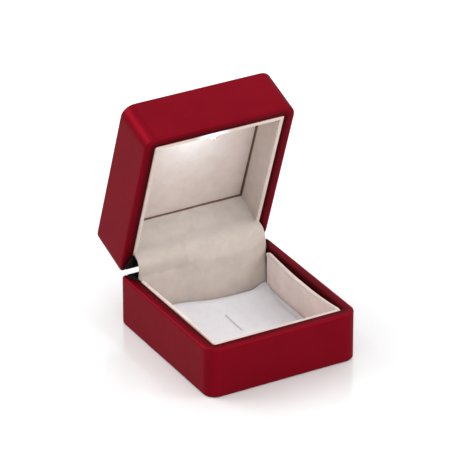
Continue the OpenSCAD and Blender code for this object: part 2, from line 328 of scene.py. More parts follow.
def hinge_cutters(seam):
    """Room for the snap cams and the screws, below a seam at that height."""
    low, high = CAM_ROOM_X
    cams = [rod((x, hinge_y, seam), 0, high - low, CAM_ROOM_R) for x in (low, -high)]
    start = (POCKET_BACK_Y - SCREW_DEPTH, seam - SCREW_DROP)
    holes = [rod((x, *start), 1, SCREW_REACH, SCREW_HOLE_R) for x in SCREW_X]
    return cams + holes


def make_base_case(coats):
    points, faces, zones = case_half(base_rim, FLOOR_T)
    piece = new_piece("base_case", points, faces, "base", ["base_shell"])
    coat(piece, coats, zones)
    cut(piece, hinge_cutters(seam_z), INNER)
    turn_outward(piece)
    smooth(piece)
    return piece


def from_roof(z):
    """Height above the lid's roof when the lid lies upside down, and back again."""
    return lid_top - z


def make_lid_case(coats):
    """Drawn upside down on its roof, turned over, and swung open."""
    points, faces, zones = case_half(lid_top - lid_rim, ROOF_T)
    piece = new_piece("lid_case", points, faces, "lid", ["lid_shell"])
    coat(piece, coats, zones)
    board_low, board_high = shut_box("led_board")
    wire_low, wire_high = shut_box("led_wires")
    beside, below, above = LAMP_POCKET_ROOM
    pocket = block(
        (board_low[0] - beside, well_front - LAMP_POCKET_DEPTH, from_roof(board_high[2] + above)),
        (board_high[0] + beside, well_front + CUT_PAST, from_roof(board_low[2] - below)),
    )
    channel = block(
        (wire_low[0] - beside, well_front - WIRE_CHANNEL_DEPTH, ROOF_T),
        (wire_high[0] + beside, well_front + CUT_PAST, from_roof(board_high[2])),
    )
    cut(piece, hinge_cutters(from_roof(seam_z)) + [pocket, channel], INNER)
    for v in piece.data.vertices:
        p = np.array(v.co) / MM
        p[2] = from_roof(p[2])
        v.co = Vector(opened(p) * MM)
    piece.data.flip_normals()
    turn_outward(piece)
    smooth(piece)
    return piece


# ---- velvet boards ----


def fine_lines(low, high, radius, step):
    """Grid places along one side of a box, closer together on its rounded edges."""
    radius = min(radius, (high - low) / 2)
    edge = [radius * (1 - math.tan(math.radians(a))) for a in (45, 30, 15)]
    inside = high - low - 2 * radius
    n = max(1, round(inside / step))
    middle = [low + radius + inside * i / n for i in range(n + 1)]
    return [low + e for e in edge] + middle + [high - e for e in reversed(edge)]


def soft_box(low, high, radius, step):
    """Points and faces of a box with a grid on every face and rounded edges."""
    low, high = np.array(low, float), np.array(high, float)
    lines = [fine_lines(low[k], high[k], radius, step) for k in range(3)]
    count = [len(x) for x in lines]
    places, points, faces = {}, [], []

    def at(key):
        if key not in places:
            places[key] = len(points)
            points.append([lines[k][key[k]] for k in range(3)])
        return places[key]

    for axis in range(3):
        u, v = [k for k in range(3) if k != axis]
        for side in (0, count[axis] - 1):
            for i in range(count[u] - 1):
                for j in range(count[v] - 1):
                    corner = []
                    for di, dj in ((0, 0), (1, 0), (1, 1), (0, 1)):
                        key = [0, 0, 0]
                        key[axis], key[u], key[v] = side, i + di, j + dj
                        corner.append(at(tuple(key)))
                    faces.append(tuple(corner))
    points = np.array(points)
    limit = np.minimum(radius, (high - low) / 2)
    core = np.clip(points, low + limit, high - limit)
    away = points - core
    length = np.linalg.norm(away, axis=1)[:, None]
    return core + away / np.maximum(length, 1e-9) * limit, faces


SEED_STEP = (17.3, 5.1, 9.7)


def waviness(points, size, seed):
    """A smooth random height for each point, from about -1 to 1, the same each run."""
    shift = Vector([seed * step for step in SEED_STEP])
    return np.array([noise.noise(Vector(p) / size + shift) for p in points])


def fade(x, start, end):
    """0 before start, 1 after end, and smooth between them."""
    t = np.clip((x - start) / (end - start), 0, 1)
    return t * t * (3 - 2 * t)


PANEL_R = 0.38
PANEL_STEP = 1.3
FOLD_FLAT, FOLD_END = 0.5, 3.0
BASE_FOLD, LID_FOLD = 0.6, 0.8


def velvet_board(name, node, body, shape):
    """A velvet-covered board in a CAD panel's place; shape moves its points."""
    in_lid = body == "lid"
    low, high = (shut_box if in_lid else rest_box)(node)
    points, faces = soft_box(low, high, PANEL_R, PANEL_STEP)
    points = shape(points, low, high)
    if in_lid:
        points = opened(points)
    piece = new_piece(name, points, faces, body, [node])
    turn_outward(piece)
    return piece


def round_corner(points, axis, side, end, top, radius):
    """Rounds a board's top corner at one end of an axis; side is 1 at the high end, else -1."""
    u = np.maximum(0, side * (points[:, axis] - end) + radius) / radius
    v = np.maximum(0, points[:, 2] - (top - radius)) / radius
    both = (u > 0) & (v > 0)
    scale = np.maximum(u, v) / np.maximum(np.hypot(u, v), 1e-9)
    points[:, axis] = np.where(both, end + side * (u * scale - 1) * radius, points[:, axis])
    points[:, 2] = np.where(both, top - radius + v * scale * radius, points[:, 2])
    return points


def fold_over(points, low, high, axis, from_rim, amount):
    """Thickens a board inward along its rim, where the cloth is folded over its edge."""
    side = np.sign(low[axis] + high[axis])
    inner = side * points[:, axis] < side * (low[axis] + high[axis]) / 2
    points[:, axis] -= side * amount * (1 - fade(from_rim, FOLD_FLAT, FOLD_END)) * inner
    return points


SIDE_BOW = 1.1
SIDE_RIPPLE, SIDE_RIPPLE_SIZE = 0.08, 6
SIDE_SINK = 0.8
SINK_END = 0.97
SIDE_CORNER_R, SIDE_FRONT_R = 3.0, 1.6
LEFT_REACH, RIGHT_REACH = 3.4, 1.2
FRONT_FOLD, FRONT_BOW, FRONT_SINK, FRONT_END_R = 0.9, 0.4, 0.5, 1.4


def side_shape(points, low, high):
    """The base's side boards lean in along their top, sink below the rim and reach the flap."""
    share = np.clip((points[:, 1] - low[1]) / (high[1] - low[1]), 0, 1)
    rise = np.clip((points[:, 2] - low[2]) / (high[2] - low[2]), 0, 1)
    side = np.sign(low[0] + high[0])
    points = fold_over(points, low, high, 0, high[2] - points[:, 2], BASE_FOLD)
    points[:, 2] -= SIDE_SINK * rise * np.sin(math.pi * np.clip(share, 0, SINK_END)) ** 0.5
    if side > 0:
        points = round_corner(points, 1, 1, high[1], high[2], SIDE_CORNER_R)
        points = round_corner(points, 1, -1, low[1], high[2], SIDE_FRONT_R)
        points[:, 1] += RIGHT_REACH * share**4
    else:
        points[:, 1] += LEFT_REACH * share**4
    bow = SIDE_BOW * np.sin(math.pi * share**0.8) * rise**1.3
    points[:, 0] -= side * bow
    points[:, 0] -= side * SIDE_RIPPLE * (1 + waviness(points, SIDE_RIPPLE_SIZE, 1)) * rise
    return points


def front_shape(points, low, high):
    """The base's front board sinks below the rim and leans in a little at its middle."""
    points = fold_over(points, low, high, 1, high[2] - points[:, 2], FRONT_FOLD)
    share = np.clip((points[:, 0] - low[0]) / (high[0] - low[0]), 0, 1)
    rise = np.clip((points[:, 2] - low[2]) / (high[2] - low[2]), 0, 1)
    points[:, 1] += FRONT_BOW * np.sin(math.pi * share) * rise
    points[:, 2] -= FRONT_SINK * rise * np.sin(math.pi * share) ** 0.3
    for side, end in ((1, high[0]), (-1, low[0])):
        points = round_corner(points, 0, side, end, high[2], FRONT_END_R)
    return points


def make_base_lining():
    return [
        velvet_board("base_lining_front", "base_front_panel", "base", front_shape),
        velvet_board("base_lining_left", "base_left_panel", "base", side_shape),
        velvet_board("base_lining_right", "base_right_panel", "base", side_shape),
    ]


CEILING_SWELL = 0.9
CEILING_GAP = 0.8
CEILING_ROUND = 0.15


def ceiling_shape(points, low, high):
    """The ceiling's board is padded a little, so its middle hangs lower."""
    u = (points[:, 0] - low[0]) / (high[0] - low[0])
    v = (points[:, 1] - low[1]) / (high[1] - low[1])
    lower = points[:, 2] < (low[2] + high[2]) / 2
    dome = np.clip(np.sin(math.pi * u) * np.sin(math.pi * v), 0, 1) ** CEILING_ROUND
    points[:, 2] -= np.where(lower, CEILING_SWELL * dome, 0)
    points[:, 0] *= 1 - CEILING_GAP / high[0]
    points[:, 1] -= CEILING_GAP * fade(points[:, 1], 0, high[1])
    return points


LID_REACH_TOP, LID_REACH_LOW = 0.4, 1.4
LID_REACH_FROM, LID_REACH_TO = 2, 13


def lid_side_shape(points, low, high):
    """The lid's side boards reach back to the flap, which stands further off near the seam."""
    share = np.clip((points[:, 1] - low[1]) / (high[1] - low[1]), 0, 1)
    rise = points[:, 2] - seam_z
    points = fold_over(points, low, high, 0, points[:, 2] - low[2], LID_FOLD)
    near_seam = 1 - fade(rise, LID_REACH_FROM, LID_REACH_TO)
    points[:, 1] += (LID_REACH_TOP + LID_REACH_LOW * near_seam) * share**4
    return points


def lid_front_shape(points, low, high):
    return fold_over(points, low, high, 1, points[:, 2] - low[2], LID_FOLD)


LAMP_HOLE_R = 1.55
LAMP_HOLE_BACK, LAMP_HOLE_LENGTH = 1, 3


def make_lid_lining():
    made = [
        velvet_board("lid_lining_front", "lid_front_panel", "lid", lid_front_shape),
        velvet_board("lid_lining_left", "lid_left_panel", "lid", lid_side_shape),
        velvet_board("lid_lining_right", "lid_right_panel", "lid", lid_side_shape),
        velvet_board("lid_lining_ceiling", "lid_ceiling_panel", "lid", ceiling_shape),
    ]
    start = (lamp_x, well_front - LAMP_HOLE_BACK, seam_z + lamp_rise)
    points, faces = rod(start, 1, LAMP_HOLE_LENGTH, LAMP_HOLE_R)
    cut(made[0], [(opened(points), faces)])
    return made


# ---- the flap: one sheet from the pad, over the hinge, to the lid's ceiling ----

FLAP_T = 0.7
FLAP_LEFT, FLAP_RIGHT = -(well_x - 0.2), well_x - 0.6
# the sheet seen from the side: below the hinge, y past the rear panel's middle and z;
# round the hinge, a turn about the pin; in the shut lid, y and the rise above the seam
FLAP_BELOW = ((0.3, 2.4), (0.2, 8), (0.8, 15))
FLAP_TURN_R = 9.7
FLAP_TURNS = (182, 163, 140, 119)
FLAP_ABOVE = ((25.7, 4.5), (24.9, 10))
FLAP_HEAD_Y, FLAP_HEAD_GAP = 24.3, 0.4
PATH_STEPS = 24
# points along and across the sheet
FLAP_GRID = (96, 84)
FLAP_LOW_END = 8
LEFT_RECESS, LEFT_SPAN = 2.6, (-4, 14)
RIGHT_RECESS, RIGHT_SPAN = 1.4, (19, 28)
# height, size and seed
RIPPLES = ((0.22, 13, 2), (0.09, 4.5, 3))
rear_low, rear_high = rest_box("base_rear_panel")
ceiling_low = shut_box("lid_ceiling_panel")[0]


def smooth_path(knots, n):
    """n evenly spaced points on a smooth curve through the knots."""
    knots = np.array(knots, float)
    padded = np.vstack([2 * knots[0] - knots[1], knots, 2 * knots[-1] - knots[-2]])
    found = []
    for i in range(1, len(padded) - 2):
        p0, p1, p2, p3 = padded[i - 1 : i + 3]
        for t in np.linspace(0, 1, PATH_STEPS, endpoint=False):
            found.append(
                0.5
                * (
                    2 * p1
                    + (p2 - p0) * t
                    + (2 * p0 - 5 * p1 + 4 * p2 - p3) * t**2
                    + (3 * p1 - p0 - 3 * p2 + p3) * t**3
                )
            )
    found = np.array(found + [knots[-1]])
    along = np.concatenate([[0], np.cumsum(np.linalg.norm(np.diff(found, axis=0), axis=1))])
    at = np.linspace(0, along[-1], n)
    return np.stack([np.interp(at, along, found[:, k]) for k in range(2)], axis=1)


def flap_recess(x):
    """How much further back the flap stands towards its two ends."""
    return LEFT_RECESS * fade(-x, *LEFT_SPAN) + RIGHT_RECESS * fade(x, *RIGHT_SPAN)


def flap_side_view():
    """The sheet seen from the side: y and z from its foot, round the hinge, to the ceiling."""
    foot_y = (rear_low[1] + rear_high[1]) / 2
    knots = [(foot_y + back, z) for back, z in FLAP_BELOW]
    for turn in FLAP_TURNS:
        a = math.radians(turn)
        knots.append((hinge_y + FLAP_TURN_R * math.cos(a), seam_z + FLAP_TURN_R * math.sin(a)))
    head = (FLAP_HEAD_Y, ceiling_low[2] - seam_z - FLAP_HEAD_GAP)
    for y, rise in (*FLAP_ABOVE, head):
        knots.append(tuple(opened((0, y, seam_z + rise))[1:]))
    return smooth_path(knots, FLAP_GRID[0])


def make_flap():
    """The flap's sheet, and the grid of points along its middle."""
    side = flap_side_view()
    xs = np.linspace(FLAP_LEFT, FLAP_RIGHT, FLAP_GRID[1])
    grid = np.zeros((len(side), len(xs), 3))
    for j, x in enumerate(xs):
        lower = 1 - fade(side[:, 1], seam_z, seam_z + FLAP_LOW_END)
        grid[:, j, 0] = x
        grid[:, j, 1] = side[:, 0] + flap_recess(x) * lower
        grid[:, j, 2] = side[:, 1]
    down = np.gradient(grid, axis=0)
    across = np.gradient(grid, axis=1)
    normal = np.cross(across, down)
    normal /= np.linalg.norm(normal, axis=2)[..., None]
    flat = grid.reshape(-1, 3)
    ripple = sum(height * waviness(flat, size, seed) for height, size, seed in RIPPLES)
    grid = (flat + normal.reshape(-1, 3) * ripple[:, None]).reshape(grid.shape)
    points, faces = thick_sheet(grid, normal, FLAP_T)
    piece = new_piece("velvet_flap_sheet", points, faces)
    turn_outward(piece)
    return piece, grid


def length_of(points):
    """The length of a line through points."""
    return np.linalg.norm(np.diff(points, axis=0), axis=1).sum()


def thick_sheet(grid, normal, thickness):
    """A closed sheet round a grid of points, with a rounded edge."""
    rows, cols = grid.shape[:2]
    half = thickness / 2
    front = (grid + normal * half).reshape(-1, 3)
    back = (grid - normal * half).reshape(-1, 3)
    n = rows * cols
    faces = []
    for i in range(rows - 1):
        for j in range(cols - 1):
            a, b = i * cols + j, i * cols + j + 1
            c, d = b + cols, a + cols
            faces.append((a, b, c, d))
            faces.append((n + d, n + c, n + b, n + a))
    edge = [(0, j) for j in range(cols)] + [(i, cols - 1) for i in range(1, rows)]
    edge += [(rows - 1, j) for j in range(cols - 2, -1, -1)] + [(i, 0) for i in range(rows - 2, 0, -1)]
    middle = grid.mean((0, 1))
    rim = []
    for i, j in edge:
        p = grid[i, j]
        if 0 < i < rows - 1:
            out = np.array([np.sign(p[0] - middle[0]), 0, 0])
        else:
            step = grid[i, j] - grid[1 if i == 0 else rows - 2, j]
            out = step / np.linalg.norm(step)
        rim.append(p + out * half)
    points = np.concatenate([front, back, np.array(rim)])
    for k in range(len(edge)):
        m = (k + 1) % len(edge)
        a, b = (edge[q][0] * cols + edge[q][1] for q in (k, m))
        faces.append((a, b, 2 * n + m, 2 * n + k))
        faces.append((2 * n + k, 2 * n + m, n + b, n + a))
    return points, faces


# ---- the pad, with a simulated velvet cover ----

pad_low, pad_high = rest_box("pad_cover")
foam_low, foam_high = rest_box("pad_foam")
FOAM_ROOM, FOAM_EDGE, FOAM_LOWER = 0.3, 1.2, 0.5
# the simulation, its voxels at the enlarged size
SIM_SCALE = 10
SIM_VOXEL = 6
SIM_FRAMES = 20
PRESSURE = 4
CLOTH_QUALITY, CLOTH_MASS = 6, 0.25
PINNED_SHARE = 0.35
SIDEWAYS_SHARE = 0.15
PAD_CAP = 1.0
PAD_EDGE_R, PAD_STEP = 0.8, 2
# fitting the cover to the flap, and lifting it towards its rear corners
PAD_TOP_ROOM = 0.1
PAD_BACK_Y = 4
PAD_BACK_REACH = 0.3
PAD_REAR_LIFT = 1.1
PAD_CORNER_LIFT = 1.4
PAD_LIFT_FROM = 0.6
PAD_RIGHT_Y, PAD_RIGHT_X, PAD_LEFT_X = (17, 24), (19, 27), (-15, 15)
# the slit and its lips, and the band round it that gets a finer grid
SLIT_LENGTH = 14
SLIT_MIDDLE_Y = 2.8
SLIT_DEPTH, SLIT_WIDTH, SLIT_END = 0.9, 0.28, 1.2
LIP_HEIGHT, LIP_X, LIP_WIDTH = 0.12, 0.9, 0.5
SLIT_BAND, SLIT_MARGIN = 1.3, 1
SLIT_GRID_FROM, SLIT_PRESS_FROM = 1, 0.9


def swell(points, faces):
    """Cloth under pressure, its underside pinned, simulated at ten times its size."""
    soft = new_piece("pad_simulation", np.asarray(points) * SIM_SCALE, faces)
    turn_outward(soft)
    remesh = soft.modifiers.new("even_grid", "REMESH")
    remesh.mode, remesh.voxel_size = "VOXEL", SIM_VOXEL * MM
    bake_modifiers(soft)
    start = np.array([v.co for v in soft.data.vertices]) / MM / SIM_SCALE
    held = soft.vertex_groups.new(name="held")
    low, high = start[:, 2].min(), start[:, 2].max()
    pinned = [int(i) for i in np.flatnonzero(start[:, 2] < low + PINNED_SHARE * (high - low))]
    held.add(pinned, 1.0, "ADD")
    cloth = soft.modifiers.new("cover", "CLOTH")
    cloth.settings.quality = CLOTH_QUALITY
    cloth.settings.mass = CLOTH_MASS
    cloth.settings.use_pressure = True
    cloth.settings.uniform_pressure_force = PRESSURE
    cloth.settings.effector_weights.gravity = 0
    cloth.settings.vertex_group_mass = "held"
    cloth.point_cache.frame_start, cloth.point_cache.frame_end = 1, SIM_FRAMES
    for number in range(1, SIM_FRAMES + 1):
        bpy.context.scene.frame_set(number)
    bake_modifiers(soft)
    bpy.context.scene.frame_set(1)
    ended = np.array([v.co for v in soft.data.vertices]) / MM / SIM_SCALE
    moved = (ended - start) * np.array([SIDEWAYS_SHARE, SIDEWAYS_SHARE, 1])
    far = np.linalg.norm(moved, axis=1)[:, None]
    ended = start + moved * np.minimum(1, PAD_CAP / np.maximum(far, 1e-9))
    found = [tuple(p.vertices) for p in soft.data.polygons]
    bpy.data.objects.remove(soft)
    return ended, found


def off_foam(point):
    """A point of the cover, moved by the shortest way out of the foam's box."""
    low, high = foam_low - FOAM_ROOM, foam_high + FOAM_ROOM
    sides = ((0, low), (0, high), (1, low), (1, high), (2, high))
    ways = [(point[axis] - end[axis]) * (1 if end is low else -1) for axis, end in sides]
    axis, end = sides[int(np.argmin(ways))]
    if 0 < min(ways) < FOAM_EDGE and point[2] > foam_low[2] + FOAM_LOWER:
        point[axis] = end[axis]
    return point


def make_pad():
    """The pad's cover: swollen by the simulation, fitted to the flap, with its slit."""
    high = pad_high - np.array([0, 0, PAD_TOP_ROOM])
    points, faces = swell(*soft_box(pad_low, high, PAD_EDGE_R, PAD_STEP))
    piece = new_piece("jewel_pad", points, faces, "base", ["pad_cover"])
    finer = piece.modifiers.new("finer", "SUBSURF")
    finer.levels = finer.render_levels = 1
    bake_modifiers(piece)
    split_slit(piece)
    for v in piece.data.vertices:
        p = np.array(v.co) / MM
        rear = fade(p[1], PAD_BACK_Y, pad_high[1])
        right = fade(p[1], *PAD_RIGHT_Y) * fade(p[0], *PAD_RIGHT_X)
        corners = right + rear * fade(-p[0], *PAD_LEFT_X)
        p[1] += (flap_recess(p[0]) + PAD_BACK_REACH) * fade(p[1], 0, pad_high[1])
        if p[2] > pad_low[2] + PAD_LIFT_FROM:
            p[2] += PAD_REAR_LIFT * rear + PAD_CORNER_LIFT * corners
        v.co = Vector(off_foam(p) * MM)
    turn_outward(piece)
    return piece


def split_slit(piece):
    """Presses the slit into the pad's top, on a finer grid along it."""
    work = bmesh.new()
    work.from_mesh(piece.data)
    end = SLIT_LENGTH / 2

    def near(v):
        x, y, z = np.array(v.co) / MM
        along = abs(y - SLIT_MIDDLE_Y)
        return abs(x) < SLIT_BAND and along < end + SLIT_MARGIN and z > pad_low[2] + SLIT_GRID_FROM

    edges = [e for e in work.edges if near(e.verts[0]) and near(e.verts[1])]
    bmesh.ops.subdivide_edges(work, edges=edges, cuts=2, use_grid_fill=True)
    for v in work.verts:
        x, y, z = np.array(v.co) / MM
        if z > pad_low[2] + SLIT_PRESS_FROM:
            inside = 1 - fade(abs(y - SLIT_MIDDLE_Y), end - SLIT_END, end)
            v.co.z -= SLIT_DEPTH * MM * math.exp(-((x / SLIT_WIDTH) ** 2)) * inside
            v.co.z += LIP_HEIGHT * MM * math.exp(-(((abs(x) - LIP_X) / LIP_WIDTH) ** 2)) * inside
    work.to_mesh(piece.data)
    work.free()


# ---- materials ----


NOISE_ROUGHNESS = 0.55


class Shader:
    """A material made of one Principled shader and the textures that feed it."""

    def __init__(self, name, **constants):
        self.material = bpy.data.materials.new(name)
        self.material.use_nodes = True
        self.tree = self.material.node_tree
        self.tree.nodes.clear()
        self.surface = self.tree.nodes.new("ShaderNodeBsdfPrincipled")
        out = self.tree.nodes.new("ShaderNodeOutputMaterial")
        self.tree.links.new(self.surface.outputs[0], out.inputs["Surface"])
        for key, value in constants.items():
            self.surface.inputs[key.replace("_", " ")].default_value = value
        self.place = self.tree.nodes.new("ShaderNodeTexCoord").outputs["Object"]

    def node(self, kind, inputs=None, **settings):
        made = self.tree.nodes.new("ShaderNode" + kind)
        for key, value in settings.items():
            setattr(made, key, value)
        for key, value in (inputs or {}).items():
            socket = made.inputs[key]
            if isinstance(value, bpy.types.NodeSocket):
                self.tree.links.new(value, socket)
            else:
                socket.default_value = value
        return made

    def stretched(self, x, y, z):
        """The place, stretched for brushed or woven patterns."""
        return self.node("Mapping", {"Vector": self.place, "Scale": (x, y, z)}).outputs[0]

    def noise(self, size, detail=3.0, place=None, distortion=0.0):
        """Noise whose features are about size mm across."""
        made = self.node(
            "TexNoise",
            {
                "Vector": place or self.place,
                "Scale": 1 / (size * MM),
                "Detail": detail,
                "Roughness": NOISE_ROUGHNESS,
                "Distortion": distortion,
            },
        )
        return made.outputs["Fac"]

    def cells(self, size):
        made = self.node("TexVoronoi", {"Vector": self.place, "Scale": 1 / (size * MM)})
        return made.outputs["Distance"]

    def ramp(self, value, stops):
        """Colours at places along a value from 0 to 1."""
        made = self.node("ValToRGB", {"Fac": value})
        band = made.color_ramp
        while len(band.elements) < len(stops):
            band.elements.new(0.5)
        for element, (at, colour) in zip(band.elements, stops):
            element.position = at
            element.color = (*colour, 1)
        return made.outputs["Color"]

    def blend(self, share, a, b, mode="MIX"):
        made = self.node("Mix", data_type="RGBA", blend_type=mode)
        for socket, value in ((made.inputs[0], share), (made.inputs[6], a), (made.inputs[7], b)):
            if isinstance(value, bpy.types.NodeSocket):
                self.tree.links.new(value, socket)
            else:
                socket.default_value = value
        return made.outputs[2]

    def spread(self, value, low, high):
        """A value from 0 to 1 mapped onto low to high."""
        made = self.node("MapRange", {"Value": value, "To Min": low, "To Max": high})
        return made.outputs[0]

    def sum(self, a, b, weight):
        """a plus b times weight."""
        made = self.node("Math", operation="MULTIPLY_ADD")
        self.tree.links.new(b, made.inputs[0])
        made.inputs[1].default_value = weight
        self.tree.links.new(a, made.inputs[2])
        return made.outputs[0]

    def feed(self, key, value):
        self.tree.links.new(value, self.surface.inputs[key])

    def bump(self, height, depth, strength=1.0):
        """Surface relief, depth in mm."""
        made = self.node("Bump", {"Height": height, "Distance": depth * MM, "Strength": strength})
        self.feed("Normal", made.outputs["Normal"])


def red_lacquer(name, depth):
    """Satin red with a faint metallic depth and fine grain; a depth under 1 makes a darker copy, for
    painted shade.
    """
    s = Shader(name, Metallic=0.6, Specular_Tint=(0.62, 0.62, 0.62, 1))
    s.surface.inputs["Specular IOR Level"].default_value = 0.015
    cloud = s.noise(14, 4)
    fleck = s.noise(0.25, 2)

    def shade(*colour):
        return tuple(c * depth for c in colour)

    deep = s.ramp(cloud, [(0.3, shade(0.148, 0.0026, 0.0080)), (0.7, shade(0.168, 0.0031, 0.0096))])
    glint = s.ramp(fleck, [(0.35, shade(0.120, 0.0018, 0.0058)), (0.65, shade(0.208, 0.0040, 0.0128))])
    s.feed("Base Color", s.blend(0.2, deep, glint))
    s.feed("Roughness", s.sum(s.spread(s.noise(4, 5), 0.42, 0.50), fleck, 0.03))
    s.bump(s.sum(s.noise(0.3, 2), s.noise(6, 2), 0.5), 0.006)
    return s.material


LAMP_COLOUR = (0.57, 0.84, 1.0)
# the front board's painted glow of lamp light: its reach, its strength at the middle, and how far its
# middle sits left of and ahead of the lamp
GLOW_REACH = 9.5
PAINTED_GLOW_PEAK = 1.3
GLOW_LEFT, GLOW_AHEAD = 1, 2


def velvet(name, shade, pale, sheen=0.35, lit_from=None):
    """Short pile, its nap brushed from shade to pale; with lit_from, a painted glow of lamp light
    round that point.
    """
    s = Shader(name, Roughness=0.95, Sheen_Weight=sheen, Sheen_Roughness=0.45)
    s.surface.inputs["Specular IOR Level"].default_value = 0.1
    s.surface.inputs["Sheen Tint"].default_value = (1.0, 0.98, 0.96, 1)
    nap = s.noise(5, 5, distortion=0.4)
    pile = s.noise(0.22, 2)
    ground = s.ramp(nap, [(0.2, shade), (0.8, pale)])
    fibre = s.ramp(pile, [(0.3, (0.72, 0.69, 0.66)), (0.6, (1, 1, 1))])
    s.feed("Base Color", s.blend(0.35, ground, fibre, "MULTIPLY"))
    relief = s.sum(pile, s.cells(0.35), 0.5)
    s.bump(s.sum(relief, s.noise(2.2, 3), 0.8), 0.08, 0.8)
    # painted light: emission that fades with distance from lit_from, a pool of lamp light painted on
    # the cloth
    if lit_from:
        away = s.node("VectorMath", {0: s.place, 1: lit_from}, operation="DISTANCE").outputs["Value"]
        reach = s.node(
            "MapRange",
            {"Value": away, "From Max": GLOW_REACH * MM, "To Min": PAINTED_GLOW_PEAK, "To Max": 0},
            interpolation_type="SMOOTHSTEP",
        )
        s.surface.inputs["Emission Color"].default_value = (*LAMP_COLOUR, 1)
        s.feed("Emission Strength", reach.outputs[0])
    return s.material


def moulded_plastic(name, colour, roughness=0.42):
    s = Shader(name)
    s.surface.inputs["Specular IOR Level"].default_value = 0.4
    lighter = tuple(min(1, c * 1.35 + 0.004) for c in colour)
    s.feed("Base Color", s.ramp(s.noise(3, 4), [(0.3, colour), (0.75, lighter)]))
    s.feed("Roughness", s.spread(s.noise(1.2, 4), roughness - 0.08, roughness + 0.1))
    s.bump(s.noise(0.35, 2), 0.02, 0.6)
    return s.material


def brushed_metal(name, colour, roughness=0.28, along=(1, 30, 30)):
    s = Shader(name, Metallic=1.0)
    lines = s.noise(2.5, 4, place=s.stretched(*along))
    darker = tuple(c * 0.8 for c in colour)
    s.feed("Base Color", s.ramp(lines, [(0.3, darker), (0.7, colour)]))
    s.feed("Roughness", s.spread(lines, roughness - 0.07, roughness + 0.12))
    s.bump(lines, 0.008, 0.5)
    return s.material


def circuit_laminate():
    """Green lacquer over glass cloth, with paler copper runs below it."""
    s = Shader("circuit_laminate", Coat_Weight=0.4, Coat_Roughness=0.15)
    threads = {"Vector": s.place, "Scale": 350.0, "Distortion": 1.5}
    weave = s.node("TexWave", threads, bands_direction="X").outputs["Fac"]
    tracks = s.noise(4, 0, place=s.stretched(1, 4, 1))
    runs = s.ramp(tracks, [(0.47, (0.008, 0.10, 0.035)), (0.52, (0.03, 0.2, 0.07))])
    cloth = s.ramp(weave, [(0.2, (0.005, 0.05, 0.02)), (0.8, (0.05, 0.25, 0.1))])
    s.feed("Base Color", s.blend(0.15, runs, cloth))
    s.feed("Roughness", s.spread(s.noise(1.5), 0.3, 0.45))
    s.bump(weave, 0.01, 0.4)
    return s.material


def grey_card():
    s = Shader("grey_card")
    fibres = s.noise(0.8, 5, place=s.stretched(1, 3, 1))
    s.feed("Base Color", s.ramp(fibres, [(0.3, (0.20, 0.15, 0.10)), (0.7, (0.36, 0.29, 0.21))]))
    s.feed("Roughness", s.spread(fibres, 0.8, 0.95))
    s.bump(fibres, 0.05)
    return s.material


def open_foam():
    s = Shader("open_foam", Subsurface_Weight=0.1)
    holes = s.cells(0.5)
    # darker in the cells' pits: painted shade in the pores
    s.feed("Base Color", s.ramp(holes, [(0.05, (0.5, 0.46, 0.36)), (0.5, (0.85, 0.82, 0.72))]))
    s.feed("Roughness", s.spread(s.noise(1), 0.85, 1.0))
    s.bump(holes, 0.2)
    return s.material


LAMP_GLOW = 45


def lamp_epoxy():
    """Clear lamp body that glows from its die outward."""
    s = Shader("lamp_epoxy", Emission_Strength=LAMP_GLOW)
    haze = s.noise(1.2, 2)
    s.feed("Base Color", s.ramp(haze, [(0.3, (0.85, 0.9, 1.0)), (0.7, (1, 1, 1))]))
    s.feed("Emission Color", s.ramp(haze, [(0.2, (0.86, 0.9, 1.0)), (0.8, (1.0, 0.98, 0.96))]))
    s.feed("Roughness", s.spread(haze, 0.12, 0.2))
    s.bump(haze, 0.01, 0.3)
    return s.material


# within this rise from the seam, the linings get the fold's velvet copy, painted light on the rim edge
FOLD_PAINTED_BAND = 1.0
# above this rise from the seam, the linings and the flap get a dark velvet copy: painted shade in the
# gaps round the ceiling
CREASE_RISE = 14.2


def dress(objects, material):
    for o in objects:
        o.data.materials.clear()
        o.data.materials.append(material)


def dress_lining(piece, cloth, is_lid):
    """Cloth with a painted-light copy on its fold over the rim, and painted shade where it tucks in at
    the ceiling.
    """
    dress([piece], cloth)
    piece.data.materials.append(fold_velvet_painted_light)
    piece.data.materials.append(crease_painted_shade)
    centres = np.array([face.center for face in piece.data.polygons]) / MM
    if is_lid:
        centres = shut(centres)
    rise = centres[:, 2] - seam_z
    kind = np.where(np.abs(rise) < FOLD_PAINTED_BAND, 1, np.where(rise > CREASE_RISE, 2, 0))
    piece.data.polygons.foreach_set("material_index", kind.astype(int))


def dress_flap(piece):
    """Flap cloth, and painted shade where it tucks in at the ceiling."""
    dress([piece], flap_velvet_painted_shade)
    piece.data.materials.append(crease_painted_shade)
    centres = shut(np.array([face.center for face in piece.data.polygons]) / MM)
    tucked = centres[:, 2] - seam_z > CREASE_RISE
    piece.data.polygons.foreach_set("material_index", tucked.astype(int))


